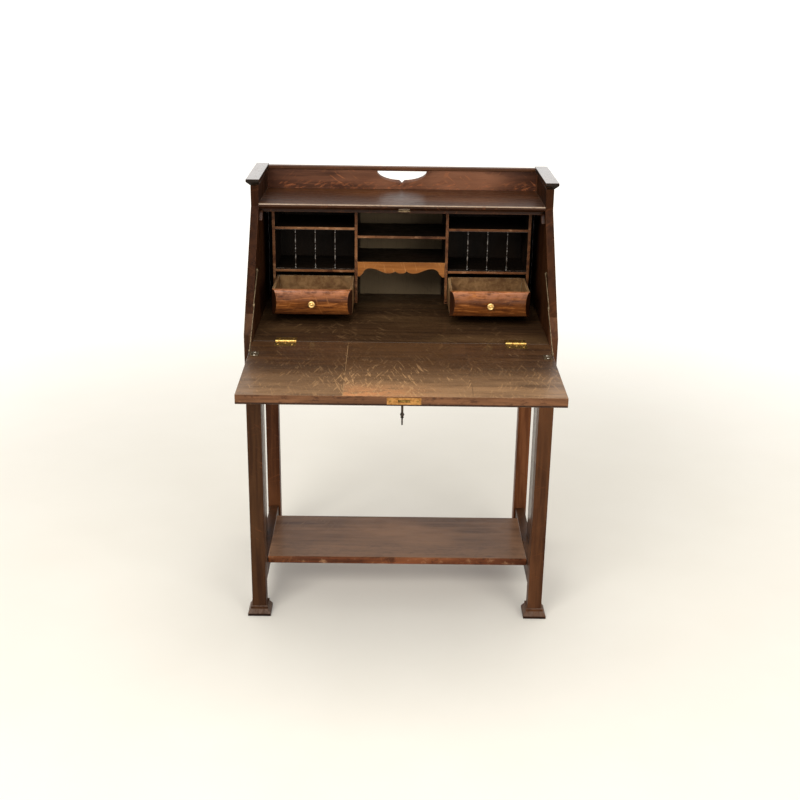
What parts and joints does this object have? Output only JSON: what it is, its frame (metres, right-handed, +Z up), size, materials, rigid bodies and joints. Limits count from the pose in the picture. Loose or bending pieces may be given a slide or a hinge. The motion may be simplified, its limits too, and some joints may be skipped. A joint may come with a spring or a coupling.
{
  "type": "fall-front secretary",
  "caption": "Slant-front oak writing desk with an open fall lid on folding stays, a pigeonhole interior with small drawers, and open legs with a low shelf.",
  "frame": {"origin": "on the floor, under the middle of the desk's outline with the lid open", "axes": "+X to the right seen from the front, +Y to the back, +Z up; the lid opens towards -Y"},
  "size_m": [0.7112, 0.7535, 1.0048],
  "materials": {
    "dark_oak": "fumed quarter-sawn oak under a satin shellac",
    "case_oak": "dark inner case oak, dulled satin",
    "lid_oak": "worn quarter-sawn oak with strong ray fleck",
    "golden_oak": "golden oak, satin",
    "drawer_oak": "orange-brown oak, satin",
    "drawer_lining": "unfinished pale secondary wood",
    "brass": "aged brass",
    "steel": "dull plated steel",
    "iron": "dark iron"
  },
  "bodies": {
    "case": {"front_left_leg": "dark_oak", "front_right_leg": "dark_oak", "rear_left_leg": "dark_oak", "rear_right_leg": "dark_oak", "left_side": "dark_oak", "right_side": "dark_oak", "left_cap": "dark_oak", "right_cap": "dark_oak", "left_lower_rail": "dark_oak", "right_lower_rail": "dark_oak", "left_slat": "dark_oak", "right_slat": "dark_oak", "lower_shelf": "dark_oak", "desk_bed": "case_oak", "front_rail": "dark_oak", "back_panel": "case_oak", "top_board": "dark_oak", "head_rail": "dark_oak", "gallery_board": "dark_oak", "gallery_strip": "dark_oak", "left_end_board": "golden_oak", "right_end_board": "golden_oak", "left_divider": "golden_oak", "right_divider": "golden_oak", "left_upper_shelf": "golden_oak", "right_upper_shelf": "golden_oak", "left_letter_shelf": "golden_oak", "right_letter_shelf": "golden_oak", "left_spindles": "dark_oak", "right_spindles": "dark_oak", "centre_shelf": "golden_oak", "cubby_shelf": "golden_oak", "left_bed_hinge_leaf": "brass", "right_bed_hinge_leaf": "brass", "left_stay_rosette": "steel", "right_stay_rosette": "steel"},
    "lid": {"lid": "lid_oak", "left_lid_hinge_leaf": "brass", "right_lid_hinge_leaf": "brass", "left_stay_bracket": "steel", "right_stay_bracket": "steel", "lock_plate": "brass"},
    "left_drawer": {"left_drawer_front": "drawer_oak", "left_drawer_left_side": "drawer_lining", "left_drawer_right_side": "drawer_lining", "left_drawer_back": "drawer_lining", "left_drawer_bottom": "drawer_lining", "left_drawer_knob": "brass"},
    "right_drawer": {"right_drawer_front": "drawer_oak", "right_drawer_left_side": "drawer_lining", "right_drawer_right_side": "drawer_lining", "right_drawer_back": "drawer_lining", "right_drawer_bottom": "drawer_lining", "right_drawer_knob": "brass"},
    "left_upper_arm": {"left_upper_stay": "steel"},
    "right_upper_arm": {"right_upper_stay": "steel"},
    "left_lower_arm": {"left_lower_stay": "steel"},
    "right_lower_arm": {"right_lower_stay": "steel"},
    "bolt": {"lock_bolt": "brass"},
    "key": {"key": "iron"}
  },
  "joints": [
    {"name": "lid_fall", "type": "hinge", "parent": "case", "child": "lid", "pos_m": [0, -0.05484, 0.684], "axis": [-1, 0, 0], "range_deg": [0, 131.16]},
    {"name": "left_drawer_slide", "type": "slide", "parent": "case", "child": "left_drawer", "axis": [0, 1, 0], "range_m": [-0.01, 0.1225]},
    {"name": "left_upper_arm_pivot", "type": "hinge", "parent": "case", "child": "left_upper_arm", "pos_m": [-0.3245, 0.06056, 0.813], "axis": [1, 0, 0], "range_deg": [-0.01, 105.57]},
    {"name": "left_lower_arm_pivot", "type": "hinge", "parent": "lid", "child": "left_lower_arm", "pos_m": [-0.3228, -0.14201, 0.68987], "axis": [1, 0, 0], "range_deg": [-0.01, 97.58]},
    {"name": "right_drawer_slide", "type": "slide", "parent": "case", "child": "right_drawer", "axis": [0, 1, 0], "range_m": [-0.01, 0.1225]},
    {"name": "right_upper_arm_pivot", "type": "hinge", "parent": "case", "child": "right_upper_arm", "pos_m": [0.3245, 0.06056, 0.813], "axis": [1, 0, 0], "range_deg": [-0.01, 105.57]},
    {"name": "right_lower_arm_pivot", "type": "hinge", "parent": "lid", "child": "right_lower_arm", "pos_m": [0.3228, -0.14201, 0.68987], "axis": [1, 0, 0], "range_deg": [-0.01, 97.58]},
    {"name": "key_turn", "type": "hinge", "parent": "lid", "child": "key", "pos_m": [0.0017, -0.35227, 0.65653], "axis": [0, -0.0244, 0.9997], "range_deg": [0, 90]},
    {"name": "bolt_slide", "type": "slide", "parent": "lid", "child": "bolt", "axis": [0, -0.9997, -0.0244], "range_m": [0, 0.00701]}
  ],
  "couplings": [
    {"joint": "left_upper_arm_pivot", "follows": "lid_fall", "ratio": 0.80485},
    {"joint": "left_lower_arm_pivot", "follows": "lid_fall", "ratio": 0.74391},
    {"joint": "right_upper_arm_pivot", "follows": "lid_fall", "ratio": 0.80485},
    {"joint": "right_lower_arm_pivot", "follows": "lid_fall", "ratio": 0.74391},
    {"joint": "bolt_slide", "follows": "key_turn", "m_per_rad": 0.004456}
  ]
}
